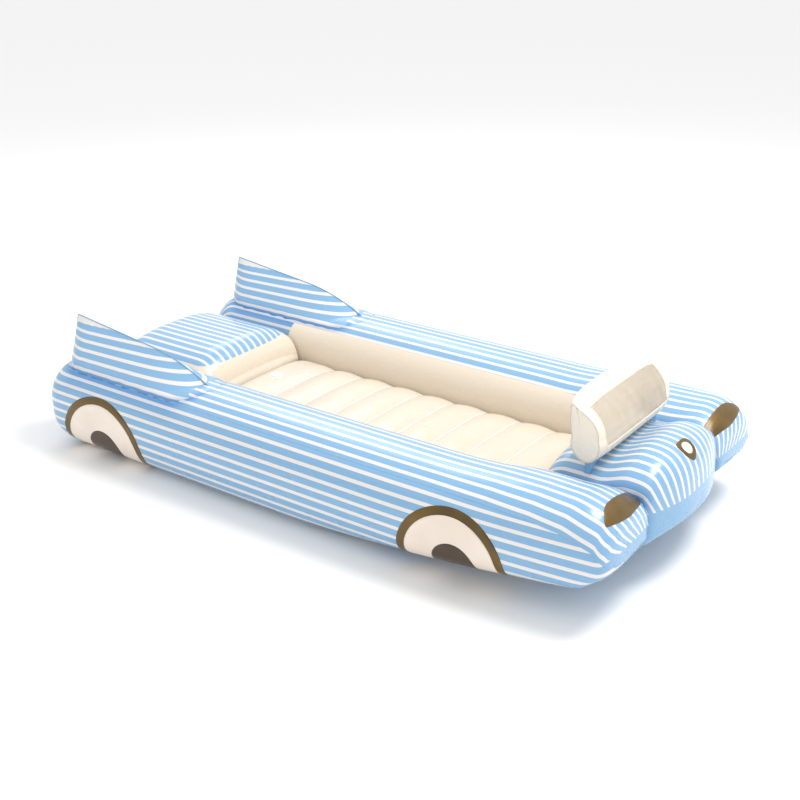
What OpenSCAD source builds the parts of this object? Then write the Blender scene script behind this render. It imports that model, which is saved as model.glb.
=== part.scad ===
// Inflatable children's air bed shaped like an open-top finned car.
// Millimetres. X runs from the tail (-) to the nose (+), Y to the car's left, Z up.
// The origin is the centre of the footprint, on the floor.
// Every air chamber is a hollow film envelope. Its wall is drawn thicker than real film,
// so that it is a solid of its own, and the baffles inside hold the shape.

/* [Body] */
// Overall length of the side chambers and nose
bed_length = 1990; // [1900:10:2050]
// Half of the overall width, at the belly of the side chambers
half_width = 528; // [510:2:545]
// Height of the side chambers over the floor
body_height = 285; // [265:5:300]
// Width of one side chamber
side_width = 300; // [280:5:320]
// How far the underside sweeps up at the nose
nose_sweep = 85; // [40:5:95]
// Extra height of the fender behind the headlight
fender_rise = 15; // [0:1:20]
// Drawn thickness of the film
film = 3; // [2:0.5:4]

/* [Cockpit] */
// Front edge of the rear deck
deck_front = -560; // [-620:10:-500]
// Rear edge of the hood
hood_rear = 620; // [600:10:660]
// Height of the inner mattress
mattress_top = 175; // [130:5:185]
// Half the width of the inner mattress
mattress_half = 224; // [210:1:225]

/* [Hood] */
// Height of the hood at its crown
hood_height = 328; // [315:1:340]
// Height of the hood under the windshield
cowl_height = 300; // [290:1:305]

/* [Fins] */
// Height of the fin tips over the floor
fin_tip = 396; // [370:2:410]
// Fall of the fin's straight top edge, in millimetres per metre of length
fin_slope = 118; // [90:2:130]
// Half the width of the fin's foot on the side chamber
fin_root = 104; // [90:1:108]

/* [Windshield] */
// Height of the top of the windshield over the floor
shield_top = 474; // [440:2:480]
// Half the width of the windshield at its foot
shield_half = 216; // [200:2:220]
// Radius of the round foot of the windshield
shield_bulb = 46; // [40:1:48]
// Position of the foot along the bed
shield_x = 760; // [750:1:770]

/* [Valves] */
// Radius of the opening that the pump's nozzle goes into
valve_bore = 10; // [9:0.5:11]
// Length of the valve neck
valve_length = 26; // [22:1:30]

/* [Hidden] */

tail = -1000;                               // rear end of the side chambers
nose = tail + bed_length - 32;              // front end of the fenders
hood_nose = tail + bed_length;              // front end of the hood lobe
deck_tail = tail + 14;                      // rear face of the rear deck, set in for the valve
belly = body_height / 2;                    // height of the widest line of a side chamber
side_y = half_width - side_width / 2;       // centre line of a side chamber
joint_y = side_y - side_width / 2 - 6;      // plane where hood and fenders press together
gap = 0.3;                                  // room between two chambers pressed together
ring_steps = 24;                            // points round one section
end_tail = 112;                             // length of the rounding at the tail
end_nose = 126;                             // length of the rounding at the nose
valve_z = 150;                              // height of the body valve
mattress_valve_x = -470;                    // place of the mattress valve
shield_valve_y = -150;                      // place of the windshield's valve along its foot
shield_z = cowl_height + shield_bulb + 0.5; // height of the windshield's hinge line

// ---------- shape functions ----------

function signed_power(v, e) = sign(v) * pow(abs(v), e);
function clamp(v, lo, hi) = max(lo, min(hi, v));
function blend(v, lo, hi) = let (t = clamp((v - lo) / (hi - lo), 0, 1)) t * t * (3 - 2 * t);
function mix(a, b, t) = a + (b - a) * t;
// 0 at an end, 1 once the section is a rounding length away from it
function end_round(d, r, p) = d >= r ? 1 : pow(1 - pow(1 - max(d, 0) / r, p), 1 / p);

// Section across X: an upper and a lower half of different squareness that share the belly line.
// w_in and w_out are half widths towards -Y and +Y, and the ends of y_lim cut it flat.
function section(x, yc, w_in, w_out, zm, zt, zb, y_lim, top_p = 2.4, low_p = 3.2) = [
    for (i = [0 : ring_steps - 1])
        let (a = 360 * i / ring_steps, p = sin(a) >= 0 ? top_p : low_p,
             c = signed_power(cos(a), 2 / p), s = signed_power(sin(a), 2 / p),
             y = yc + c * (c < 0 ? w_in : w_out))
            [x, clamp(y, y_lim[0], y_lim[1]), zm + s * (s < 0 ? zm - zb : zt - zm)]];

// Stations along X, close together at both ends
function stations(x0, x1, r0, r1, mid = 9) = concat(
    [for (k = [0 : 4]) x0 + r0 * (1 - cos(k * 18)) + (k == 0 ? 0 : 1)],
    [for (k = [0 : mid]) mix(x0 + r0 + 2, x1 - r1 - 2, k / mid)],
    [for (k = [4 : -1 : 0]) x1 - r1 * (1 - cos(k * 18)) - (k == 0 ? 0 : 1)]);

// ---------- side chambers ----------

function sweep_up(x) = nose_sweep * pow(clamp(x / 860, 0, 1.1), 1.3);
function side_crest(x) = body_height + fender_rise * blend(x, 420, 740);
function side_top(x, w = 0) = mix(side_mid(x), side_crest(x), side_end(x, w)) - w;
// The underside runs up to the nose in a straight slope and stays this far under the belly line
nose_slope = 0.755;
nose_lip = 6;
function side_mid(x) = belly + 2 + 12 * blend(x, 850, 950);
function side_low(x, w = 0) = max(mix(side_mid(x), sweep_up(x), side_end(x, w) * 0.985 + 0.015),
    side_mid(x) - nose_lip - nose_slope * (nose - x)) + w;
function side_end(x, w = 0) = max(0.08, min(end_round(x - tail - w, end_tail, 2.2),
    end_round(nose - w - x, end_nose, 2.7)));
function side_outer(x) = side_width / 2 - 44 * pow(clamp((x - 300) / 645, 0, 1), 2);
function side_plan(x) = max(0.45, min(end_round(x - tail, 80, 2.6), end_round(nose - x, 32, 3)));
function side_section(x, w) = section(x, side_y, side_plan(x) * (side_width / 2 + 34 * blend(x, 560, 660) + 16 * blend(x, 780, 860)) - w,
    side_plan(x) * side_outer(x) - w, side_mid(x), side_top(x, w), side_low(x, w), [joint_y + gap + w, 2 * half_width]);
function side_rings(w) = [for (x = stations(tail + w, nose - w, end_tail, end_nose, 11)) side_section(x, w)];

// ---------- hood and rear deck ----------

hood_square = 2.9;                          // squareness of the hood's upper half
function hood_crest(x) = mix(cowl_height, hood_height, blend(x, 790, 880));
function hood_end(x, w = 0) = max(0.08, min(end_round(x - hood_rear - w, 90, 2.4),
    end_round(hood_nose - w - x, 112, 2.7)));
// Seen from above the hood's front is a shallow bow
bow_depth = 45;
function hood_plan(x) = min(end_round(x - hood_rear + 30, 70, 2.6), 0.894 * sqrt(max(hood_nose + 2 - x, 0) / bow_depth), 1);
function hood_mid(x) = belly + 8 * blend(x, 880, 980);
function hood_low(x, w) = max(mix(hood_mid(x), max(sweep_up(x), 4), hood_end(x, w)),
    hood_mid(x) - nose_lip - nose_slope * (hood_nose - x)) + w;
function hood_section(x, w) = section(x, 0, hood_plan(x) * 246 - w, hood_plan(x) * 246 - w, hood_mid(x),
    mix(hood_mid(x), hood_crest(x), hood_end(x, w)) - w, hood_low(x, w),
    [-joint_y + gap + w, joint_y - gap - w], hood_square, 3.2);
function hood_rings(w) = [for (x = stations(hood_rear + w, hood_nose - w, 90, 112, 5)) hood_section(x, w)];

function deck_end(x, w = 0) = max(0.42, min(end_round(x - deck_tail - w, 90, 2.4),
    end_round(deck_front - w - x, 90, 2.4)));
function deck_plan(x) = min(end_round(x - deck_tail + 30, 70, 2.6), end_round(deck_front - x + 30, 70, 2.6));
function deck_section(x, w) = section(x, 0, deck_plan(x) * 244 - w, deck_plan(x) * 244 - w, belly,
    mix(belly, body_height - 12, deck_end(x, w)) - w, mix(belly, 3, deck_end(x, w)) + w,
    [-joint_y + gap + w, joint_y - gap - w], 2.8, 3.2);
function deck_rings(w) = [for (x = stations(deck_tail + w, deck_front - w, 90, 90, 4)) deck_section(x, w)];

// ---------- mattress ----------

function mattress_end(x, w = 0) = max(0.3, min(end_round(x - deck_front - 6 - w, 60, 2.4),
    end_round(hood_rear - 6 - w - x, 60, 2.4)));
function mattress_plan(x) = min(end_round(x - deck_front + 14, 60, 2.4), end_round(hood_rear + 14 - x, 60, 2.4));
function mattress_section(x, w) = section(x, 0, mattress_plan(x) * mattress_half - w, mattress_plan(x) * mattress_half - w, mattress_top / 2 + 1,
    mix(mattress_top / 2, mattress_top, mattress_end(x, w)) - w, mix(mattress_top / 2, 2.6, mattress_end(x, w)) + w,
    [-mattress_half, mattress_half], 4, 4);
function mattress_rings(w) = [for (x = stations(deck_front + 6 + w, hood_rear - 6 - w, 60, 60, 7))
    mattress_section(x, w)];

// ---------- fins ----------

fin_front = -388;                           // front end, where the top edge meets the side chamber
fin_back = tail + 15;                       // foot of the upright rear edge
fin_bend = -640;                            // where the straight top edge starts to curve down
function fin_edge(x) = min(
    fin_tip - fin_slope * (x - fin_back - 27) / 1000 - 56 * pow(clamp((x - fin_bend) / 255, 0, 1), 2),
    250 + (fin_tip - 250) * pow(clamp((x - fin_back) / 27, 0, 1), 0.7));
function fin_width(x) = fin_root * min(end_round(x - fin_back + 12, 60, 2), end_round(fin_front + 14 - x, 110, 2));
// Height of the side chamber's film at a distance off its crest
function tube_z(x, off) = side_mid(x) + (side_top(x) - side_mid(x))
    * pow(1 - pow(min(abs(off) / (side_plan(x) * side_width / 2), 1), 2.4), 1 / 2.4);
fin_gap = 0.8;                              // room between the fin's foot and the side chamber
fin_thin = 11;                              // least height of the fin's film over the side chamber
// Fin section: its foot follows the side chamber, and its two sheets lean together to the welded top edge
function fin_section(x, w) = let (full = fin_width(x), zb = tube_z(x, full) + fin_gap,
        zt = max(min(fin_edge(x), fin_edge(x - 1.5 * w)), zb + 2 * fin_thin),
        heights = [0, 0.06, 0.14, 0.24, 0.35, 0.47, 0.59, 0.71, 0.83, 1],
        sheet = [for (v = heights) let (off = max(full * fin_taper(v) - w, 1))
            [off, max(mix(zb, zt, v), tube_z(x, off) + fin_gap + fin_thin) - 1.4 * w]])
    concat([for (p = sheet) [x, side_y + p[0], p[1]]],
        [for (k = [len(sheet) - 1 : -1 : 0]) [x, side_y - sheet[k][0], sheet[k][1]]],
        [for (p = sheet) [x, side_y - p[0], tube_z(x, p[0]) + fin_gap + w]],
        [for (k = [len(sheet) - 1 : -1 : 0]) [x, side_y + sheet[k][0], tube_z(x, sheet[k][0]) + fin_gap + w]]);
function fin_taper(v) = 0.03 + 0.97 * (1 - pow(v, 1.25));
// The fin shares the side chamber's stations round the tail, so that their facets lie on each other
tail_stations = [for (x = stations(tail, nose, end_tail, end_nose, 11)) if (x > fin_back + 5 && x < fin_bend) x];
function fin_rings(w) = [for (x = concat([fin_back + w], tail_stations,
    [for (k = [0 : 9]) mix(fin_bend, fin_front - w, 1 - pow(1 - k / 9, 2))])) fin_section(x, w)];

// ---------- windshield ----------

// Section of the windshield in its own frame: u forward, v up from the centre of its round foot
function shield_profile(height, w) = let (r = shield_bulb - w, lean = -0.42,
        top = height - w, edge = max(7 - w * 0.5, 4))
    concat([for (a = [25 : -25 : -200]) [r * cos(a), r * sin(a)]],
        [for (t = [0.3, 0.55, 0.8]) [mix(r * cos(160), lean * top - edge, t) - 3 * sin(180 * t), mix(r * sin(160), top, t)]],
        [[lean * top - edge, top - 4], [lean * top, top], [lean * top + edge, top - 4]],
        [for (t = [0.8, 0.55, 0.3]) [mix(r * cos(25), lean * top + edge, t) + (24 - w) * sin(180 * t), mix(r * sin(25), top, t)]]);
function shield_height(y) = let (full = shield_top - shield_z, e = abs(y) / shield_half)
    mix(full * 0.76, full, pow(1 - pow(min(e, 1), 4.5), 0.5));
function shield_rings(w, half) = [for (k = [-8 : 8]) let (y = half * sin(k * 11.25))
    [for (p = shield_profile(shield_height(y), w)) [shield_x + p[0], y, shield_z + p[1]]]];

// ---------- building blocks ----------

// Closed solid through a list of sections that all have the same number of points
module loft(rings) {
    n = len(rings[0]);
    m = len(rings);
    polyhedron(points = [for (r = rings) each r], convexity = 6, faces = concat(
        [[for (i = [0 : n - 1]) i]],
        [for (j = [0 : m - 2], i = [0 : n - 1]) [j * n + i, (j + 1) * n + (i + 1) % n, j * n + (i + 1) % n]],
        [for (j = [0 : m - 2], i = [0 : n - 1]) [j * n + i, (j + 1) * n + i, (j + 1) * n + (i + 1) % n]],
        [[for (i = [n - 1 : -1 : 0]) (m - 1) * n + i]]));
}

// The same, for sections whose second half runs back under the first, with the ends closed in narrow strips
module strip_loft(rings) {
    n = len(rings[0]);
    last = (len(rings) - 1) * n;
    polyhedron(points = [for (r = rings) each r], convexity = 8, faces = concat(
        [for (i = [0 : n / 2 - 2]) each [[n - 1 - i, i, i + 1], [n - 1 - i, i + 1, n - 2 - i]]],
        [for (j = [0 : len(rings) - 2], i = [0 : n - 1]) [j * n + i, (j + 1) * n + (i + 1) % n, j * n + (i + 1) % n]],
        [for (j = [0 : len(rings) - 2], i = [0 : n - 1]) [j * n + i, (j + 1) * n + i, (j + 1) * n + (i + 1) % n]],
        [for (i = [0 : n / 2 - 2]) each [[last + n - 1 - i, last + i + 1, last + i],
            [last + n - 1 - i, last + n - 2 - i, last + i + 1]]]));
}

// Mirrors a right-hand piece to the car's left when side is 1, and keeps it right when side is -1
module on_side(side) {
    if (side > 0) children();
    else mirror([0, 1, 0]) children();
}

// Web across a chamber: the section drawn smaller, with two round air passages
module web(ring, x, hole_y, hole_r) {
    yc = (max([for (p = ring) p[1]]) + min([for (p = ring) p[1]])) / 2;
    zc = (max([for (p = ring) p[2]]) + min([for (p = ring) p[2]])) / 2;
    translate([x, yc, zc]) rotate([90, 0, 90]) linear_extrude(height = 2, center = true) difference() {
        polygon([for (p = ring) [(p[1] - yc) * 0.97, (p[2] - zc) * 0.97]]);
        for (s = [-1, 1]) translate([s * hole_y, 0]) circle(r = hole_r, $fn = 32);
    }
}

// Valve housing: flange on the film and a neck that reaches inwards. Opens along +Z, flange face at z = 0
module valve_housing() {
    rotate_extrude($fn = 64) polygon([[valve_bore, 2.5 - valve_length], [valve_bore + 3.5, 2.5 - valve_length],
        [valve_bore + 3.5, 0.05], [valve_bore + 13, 0.05], [valve_bore + 11, 2.5], [valve_bore, 2.5]]);
}

// One-way flap under the neck
module valve_flap() {
    translate([0, 0, 2.5 - valve_length - 1.8]) cylinder(h = 1.4, r = valve_bore + 2.6, $fn = 48);
    translate([valve_bore + 1, -4, 2.5 - valve_length - 1.8]) cube([5, 8, 1.4]);
}

// Cap over the flange, with a rim, a grip rib and its strap's hinge lug
module valve_cap() {
    translate([0, 0, 2.9]) cylinder(h = 3, r = valve_bore + 7, $fn = 64);
    translate([-valve_bore - 2, -1.5, 5.9]) cube([2 * valve_bore + 4, 3, 2.6]);
    translate([valve_bore + 5, -5, 2.9]) cube([7, 10, 1.6]);
}

// ---------- sub-parts ----------

module floor_sheet() {
    color("lightsteelblue") translate([deck_front - 30, -joint_y - 60, 0])
        cube([hood_rear - deck_front + 20, 2 * joint_y + 120, 2]);
}

module side_chamber(side) {
    color("lightskyblue") on_side(side) difference() {
        loft(side_rings(0));
        loft(side_rings(film));
    }
}
module side_chamber_right() { side_chamber(-1); }
module side_chamber_left() { side_chamber(1); }

module hood_chamber() {
    color("skyblue") difference() {
        loft(hood_rings(0));
        loft(hood_rings(film));
    }
}

module trunk_chamber() {
    color("lightskyblue") difference() {
        loft(deck_rings(0));
        loft(deck_rings(film));
        translate([deck_tail - 1, 0, valve_z]) rotate([0, 90, 0]) cylinder(h = film + 3, r = valve_bore + 3.8, $fn = 64);
    }
}

module fin(side) {
    color("lightskyblue") on_side(side) difference() {
        strip_loft(fin_rings(0));
        strip_loft(fin_rings(film));
    }
}
module fin_right() { fin(-1); }
module fin_left() { fin(1); }

module side_baffles(side) {
    color("aliceblue") on_side(side) for (x = [-780, -520, -260, 0, 260, 520, 740])
        web(side_section(x, film), x, 62, 26);
}
module side_baffles_right() { side_baffles(-1); }
module side_baffles_left() { side_baffles(1); }

module hood_baffles() {
    color("aliceblue") for (x = [720, 860]) web(hood_section(x, film), x, 90, 30);
}

module trunk_baffles() {
    color("aliceblue") for (x = [-870, -770, -670]) web(deck_section(x, film), x, 90, 30);
}

module body_valve() {
    color("whitesmoke") translate([deck_tail, 0, valve_z]) rotate([0, -90, 0]) valve_housing();
}
module body_valve_flap() {
    color("gainsboro") translate([deck_tail, 0, valve_z]) rotate([0, -90, 0]) valve_flap();
}
module body_valve_cap() {
    color("white") translate([deck_tail, 0, valve_z]) rotate([0, -90, 0]) valve_cap();
}

// Webs of film that join the windshield's foot to the hood where the hood falls away to each side
module shield_skirt() {
    reach = [80, 200];
    color("lightskyblue") for (side = [-1, 1]) on_side(side)
        translate([shield_x - 8, 0, 0]) rotate([90, 0, 90]) linear_extrude(height = 16)
            polygon(concat([[reach[1], cowl_height + 0.2], [reach[0], cowl_height + 0.2]],
                [for (y = [reach[0] : 5 : reach[1]]) [y, hood_surface(y) + 0.6]]));
}
function hood_surface(y) = belly + (cowl_height - belly) * pow(1 - pow(abs(y) / 246, hood_square), 1 / hood_square);

module shield_frame() {
    color("antiquewhite") difference() {
        loft(shield_rings(0, shield_half - 3));
        loft(shield_rings(2, shield_half - 2));
        shield_opening(0);
    }
}

// Block that marks the window in the front face, in from the edges by the width of the border
module shield_opening(inset) {
    translate([shield_x, 0, shield_z]) rotate([0, -20, 0]) translate([6, -shield_half + 34 + inset, 16 + inset])
        cube([70, 2 * shield_half - 68 - 2 * inset, 76 - 2 * inset]);
}

module shield_window() {
    color("linen", 0.5) intersection() {
        difference() {
            loft(shield_rings(0, shield_half - 3));
            loft(shield_rings(2, shield_half - 2));
        }
        shield_opening(0.3);
    }
}

module shield_end(side) {
    color("antiquewhite") on_side(side) {
        y = shield_half - 2.7;
        outline = shield_profile(shield_height(shield_half), 0.5);
        translate([shield_x, y, shield_z]) rotate([90, 0, 0]) mirror([0, 0, 1]) linear_extrude(height = 2.5)
            polygon(outline);
    }
}
module shield_end_right() { shield_end(-1); }
module shield_end_left() { shield_end(1); }

module shield_valve() {
    color("white") translate([shield_x - shield_bulb - 0.1, shield_valve_y, shield_z]) rotate([0, -90, 0])
        rotate_extrude($fn = 48) polygon([[3, 0], [11, 0], [11, 1], [5, 1], [5, 13], [3, 13]]);
}
module shield_valve_plug() {
    color("white") translate([shield_x - shield_bulb - 0.1, shield_valve_y, shield_z]) rotate([0, -90, 0]) {
        translate([0, 0, 13.4]) cylinder(h = 3, r = 5.5, $fn = 48);
        translate([4, -1.5, 13.4]) cube([8, 3, 1.2]);
    }
}

module mattress_envelope() {
    color("antiquewhite") difference() {
        loft(mattress_rings(0));
        loft(mattress_rings(film));
        translate([mattress_valve_x, 0, mattress_top - film - 2]) cylinder(h = film + 4, r = valve_bore + 3.8, $fn = 64);
    }
}

module mattress_beams() {
    color("aliceblue") for (x = [-380 : 120 : 520]) web(mattress_section(x, film), x, 110, 30);
}

module mattress_valve() {
    color("whitesmoke") translate([mattress_valve_x, 0, mattress_top]) valve_housing();
}
module mattress_valve_flap() {
    color("gainsboro") translate([mattress_valve_x, 0, mattress_top]) valve_flap();
}
module mattress_valve_cap() {
    color("white") translate([mattress_valve_x, 0, mattress_top]) valve_cap();
}

floor_sheet();
side_chamber_right();
side_chamber_left();
hood_chamber();
trunk_chamber();
fin_right();
fin_left();
side_baffles_right();
side_baffles_left();
hood_baffles();
trunk_baffles();
body_valve();
body_valve_flap();
body_valve_cap();
shield_skirt();
shield_frame();
shield_window();
shield_end_right();
shield_end_left();
shield_valve();
shield_valve_plug();
mattress_envelope();
mattress_beams();
mattress_valve();
mattress_valve_flap();
mattress_valve_cap();
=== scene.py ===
# %% [markdown]
# # A children's air bed shaped like a finned car
# The real bed is blown up from thin vinyl film. Two long side chambers, a hood and a rear
# deck press against each other, two fins stand on the sides, a small windshield is welded
# across the hood, and a separate mattress lies in the cockpit.
# The CAD model already fixes every size and joint, so this lesson only dresses it: each
# film is drawn again, much finer, on the same outline, and gets its print and its gloss.

# %% Load the fixed frame
import math
import random

import bmesh
import bpy
import numpy as np
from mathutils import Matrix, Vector


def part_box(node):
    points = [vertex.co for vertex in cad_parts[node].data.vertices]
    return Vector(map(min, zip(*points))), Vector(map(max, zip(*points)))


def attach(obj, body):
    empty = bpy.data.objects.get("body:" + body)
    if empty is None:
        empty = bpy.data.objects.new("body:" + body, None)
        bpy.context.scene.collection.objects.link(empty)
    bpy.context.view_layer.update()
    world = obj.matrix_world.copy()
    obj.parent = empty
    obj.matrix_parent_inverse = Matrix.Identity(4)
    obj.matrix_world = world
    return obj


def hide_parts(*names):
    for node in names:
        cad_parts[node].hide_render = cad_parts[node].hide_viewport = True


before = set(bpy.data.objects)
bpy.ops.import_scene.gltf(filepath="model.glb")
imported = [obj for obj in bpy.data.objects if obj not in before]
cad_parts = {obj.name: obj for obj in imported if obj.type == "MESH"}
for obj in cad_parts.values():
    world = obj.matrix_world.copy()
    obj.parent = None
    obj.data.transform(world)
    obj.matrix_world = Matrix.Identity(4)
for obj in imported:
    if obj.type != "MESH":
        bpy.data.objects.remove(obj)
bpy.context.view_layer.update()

# %% [markdown]
# ## Reading the sizes off the frame
# Lengths below are in millimetres, because film is cut in millimetres, and each mesh is
# turned into metres when it is made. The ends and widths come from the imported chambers,
# so the drawn film always lies on the CAD's outline.

# %% Sizes of the chambers
MM = 0.001


def chamber(node):
    low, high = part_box(node)
    return np.array(low) / MM, np.array(high) / MM


side_low, side_high = chamber("side_chamber_left")
hood_low, hood_high = chamber("hood_chamber")
deck_low, deck_high = chamber("trunk_chamber")
fin_high = chamber("fin_left")[1]
shield_high = chamber("shield_frame")[1]
pad_low, pad_high = chamber("mattress_envelope")

tail, nose = side_low[0], side_high[0]
half_width = side_high[1]
fender_top = side_high[2]
side_crest_rear = fender_top - 15
side_y = half_width - 150
joint_y = side_low[1]
belly = 142.5
print("bed from", round(tail), "to", round(nose), "mm, half width", round(half_width))

# %% [markdown]
# ## Outline of the blown film
# Blown film takes a round, slightly square section. A superellipse draws that well: one
# power for the upper half and one for the flatter lower half. The ends round off because
# the section shrinks over the last few centimetres.
# Lofting sections keeps full control of the outline. Inflating flat panels with cloth
# pressure would be closer to how the bed is made, but the ends would not land on the CAD.

# %% Shape helpers


def soft_step(value, low, high):
    t = np.clip((np.asarray(value, float) - low) / (high - low), 0, 1)
    return t * t * (3 - 2 * t)


def end_round(distance, reach, power):
    near = np.clip(np.asarray(distance, float) / reach, 0, 1)
    return (1 - (1 - near) ** power) ** (1 / power)


def mix(a, b, t):
    return a + (b - a) * t


def signed_power(value, power):
    return np.sign(value) * np.abs(value) ** power


QUARTER_POINTS = 28
FINE = 40


def film_ring(x, centre, half_in, half_out, middle, top, bottom, wall, top_power, low_power):
    """One section: starts underneath, goes up the outer wall, over the crest and down inside.
    Gives its points and, for each, the distance along the film from the outer belly line."""
    angle = np.radians(np.linspace(-90, 270, 4 * FINE + 1))
    power = np.where(np.sin(angle) >= 0, top_power, low_power)
    across = signed_power(np.cos(angle), 2 / power)
    up = signed_power(np.sin(angle), 2 / power)
    y = centre + across * np.where(across < 0, half_in, half_out)
    y = np.clip(y, wall[0], wall[1])
    z = middle + up * np.where(up < 0, middle - bottom, top - middle)
    along = np.concatenate([[0], np.cumsum(np.hypot(np.diff(y), np.diff(z)))])
    knots = along[:: FINE]
    spread = [np.linspace(knots[k], knots[k + 1], QUARTER_POINTS, endpoint=False) for k in range(4)]
    wanted = np.concatenate(spread)
    y_even, z_even = np.interp(wanted, along, y), np.interp(wanted, along, z)
    return np.stack([np.full_like(wanted, x), y_even, z_even], 1), wanted - knots[1]


def station_list(start, end, start_reach, end_reach, step):
    quarter_turn = np.linspace(0, math.pi / 2, 15)
    first = start + start_reach * (1 - np.cos(quarter_turn))
    last = end - end_reach * (1 - np.cos(quarter_turn[::-1]))
    count = max(int((last[0] - first[-1]) / step), 2)
    return np.concatenate([first, np.linspace(first[-1], last[0], count)[1:-1], last])


print("points round one section:", 4 * QUARTER_POINTS)

# %% [markdown]
# ## Film as a surface that can be looked up
# The prints and the weld beads have to lie exactly on the blown film. So each chamber is
# kept as a grid of points with its normals, and later pieces ask the grid where they are.
# Welded film also puckers: little waves stand across each seam. The waves are real
# geometry here, so they show in the outline and stay when the model is exported.

# %% Film grids and puckers


def pucker(along, seed, short=24, long=62, waves=7):
    """Uneven waves along a seam, from about -1 to 1."""
    dice = random.Random(seed)
    total = 0
    for _ in range(waves):
        length = dice.uniform(short, long)
        wave = np.sin(2 * math.pi * (along / length + dice.random()))
        total = total + wave * dice.uniform(0.5, 1)
    return total / (waves * 0.45)


def grid_normals(grid):
    along = np.gradient(grid, axis=0)
    around = np.roll(grid, -1, axis=1) - np.roll(grid, 1, axis=1)
    normal = np.cross(around, along)
    return normal / np.maximum(np.linalg.norm(normal, axis=2, keepdims=True), 1e-9)


class FilmGrid:
    def __init__(self, stations, ring_at):
        rings = [ring_at(x) for x in stations]
        self.x = np.array(stations)
        self.points = np.array([r[0] for r in rings])
        self.arc = np.array([r[1] for r in rings])
        self.flat = self.points.copy()
        self.normal = grid_normals(self.points)

    def push(self, amount):
        """Moves the film in or out along its normals, in millimetres."""
        self.points = self.points + self.normal * amount[..., None]

    def settle(self):
        self.normal = grid_normals(self.points)

    def find(self, xs, key, wanted):
        """Points and normals at (x, arc) on the outer wall, or at (x, y) on the upper side."""
        found, normals = [], []
        for x, want in zip(np.ravel(xs), np.ravel(wanted)):
            place = np.interp(x, self.x, np.arange(len(self.x)))
            j = min(int(place), len(self.x) - 2)
            pair = []
            for k in (j, j + 1):
                if key == "arc":
                    scale, part = self.arc[k], slice(0, 4 * QUARTER_POINTS)
                else:
                    part = slice(QUARTER_POINTS, 3 * QUARTER_POINTS + 1)
                    scale = -self.flat[k, part, 1]
                both = np.concatenate([self.points[k, part], self.normal[k, part]], 1)
                goal = want if key == "arc" else -want
                pair.append([np.interp(goal, scale, both[:, c]) for c in range(6)])
            value = mix(np.array(pair[0]), np.array(pair[1]), place - j)
            found.append(value[:3])
            normals.append(value[3:] / max(np.linalg.norm(value[3:]), 1e-9))
        return np.array(found), np.array(normals)


# %% [markdown]
# ## Turning grids into meshes
# A closed loft needs quads between the sections and a fan at each end. The print of the
# film depends on where a point lies on its panel, so those distances are stored on the
# mesh as attributes, and the material reads them. No picture is needed.

# %% Mesh makers
collection = bpy.context.scene.collection


def new_piece(name, points, faces, finish, body, smooth=True, values=None):
    mesh = bpy.data.meshes.new(name)
    mesh.from_pydata((np.asarray(points) * MM).tolist(), [], faces)
    mesh.validate()
    for key, numbers in (values or {}).items():
        attribute = mesh.attributes.new(key, "FLOAT", "POINT")
        attribute.data.foreach_set("value", np.asarray(numbers, np.float32).ravel())
    mesh.polygons.foreach_set("use_smooth", [smooth] * len(mesh.polygons))
    mesh.materials.append(finish)
    piece = bpy.data.objects.new(name, mesh)
    collection.objects.link(piece)
    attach(piece, body)
    return piece


def loft_faces(rows, count, side=1):
    faces = []
    for j in range(rows - 1):
        for i in range(count):
            n = (i + 1) % count
            faces.append((j * count + i, j * count + n, (j + 1) * count + n, (j + 1) * count + i))
    first, last = rows * count, rows * count + 1
    for i in range(count):
        n = (i + 1) % count
        faces.append((first, n, i))
        faces.append((last, (rows - 1) * count + i, (rows - 1) * count + n))
    return faces if side > 0 else [tuple(reversed(f)) for f in faces]


def loft_piece(name, grid, finish, body, side=1, values=None):
    """A closed skin through the rows of a grid. side -1 mirrors it to the car's right."""
    rows, count = grid.shape[:2]
    points = np.concatenate([grid.reshape(-1, 3), grid[0].mean(0)[None], grid[-1].mean(0)[None]])
    points[:, 1] *= side
    numbers = {}
    for key, value in (values or {}).items():
        numbers[key] = np.concatenate([value.ravel(), [value[0].mean(), value[-1].mean()]])
    piece = new_piece(name, points, loft_faces(rows, count, side), finish, body, True, numbers)
    print(name, len(points), "points")
    return piece


# %% [markdown]
# ## Finishes
# Vinyl film is a smooth, slightly pearly plastic: a clear gloss over a soft colour, with
# faint stretch marks. Every finish starts from the same helper, which adds fine noise to
# the colour, the gloss and the relief, and then each one gets its own print.

# %% Node helpers


def start_finish(name):
    finish = bpy.data.materials.new(name)
    finish.use_nodes = True
    tree = finish.node_tree
    return finish, tree, tree.nodes["Principled BSDF"]


def add(tree, kind, settings=None, **inputs):
    node = tree.nodes.new(kind)
    for key, value in (settings or {}).items():
        setattr(node, key, value)
    for key, value in inputs.items():
        by_number = key[0] == "i" and key[1:].isdigit()
        socket = node.inputs[int(key[1:]) if by_number else key]
        if isinstance(value, bpy.types.NodeSocket):
            tree.links.new(value, socket)
        else:
            socket.default_value = value
    return node


def sums(tree, kind, a, b=0.0, c=0.0):
    return add(tree, "ShaderNodeMath", {"operation": kind}, i0=a, i1=b, i2=c).outputs[0]


def ramp_between(tree, value, low, high, smooth=True):
    kind = {"interpolation_type": "SMOOTHSTEP" if smooth else "LINEAR"}
    return add(tree, "ShaderNodeMapRange", kind, i0=value, i1=low, i2=high).outputs[0]


def blend_colour(tree, share, a, b, kind="MIX"):
    settings = {"data_type": "RGBA", "blend_type": kind}
    return add(tree, "ShaderNodeMix", settings, i0=share, i6=a, i7=b).outputs[2]


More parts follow.
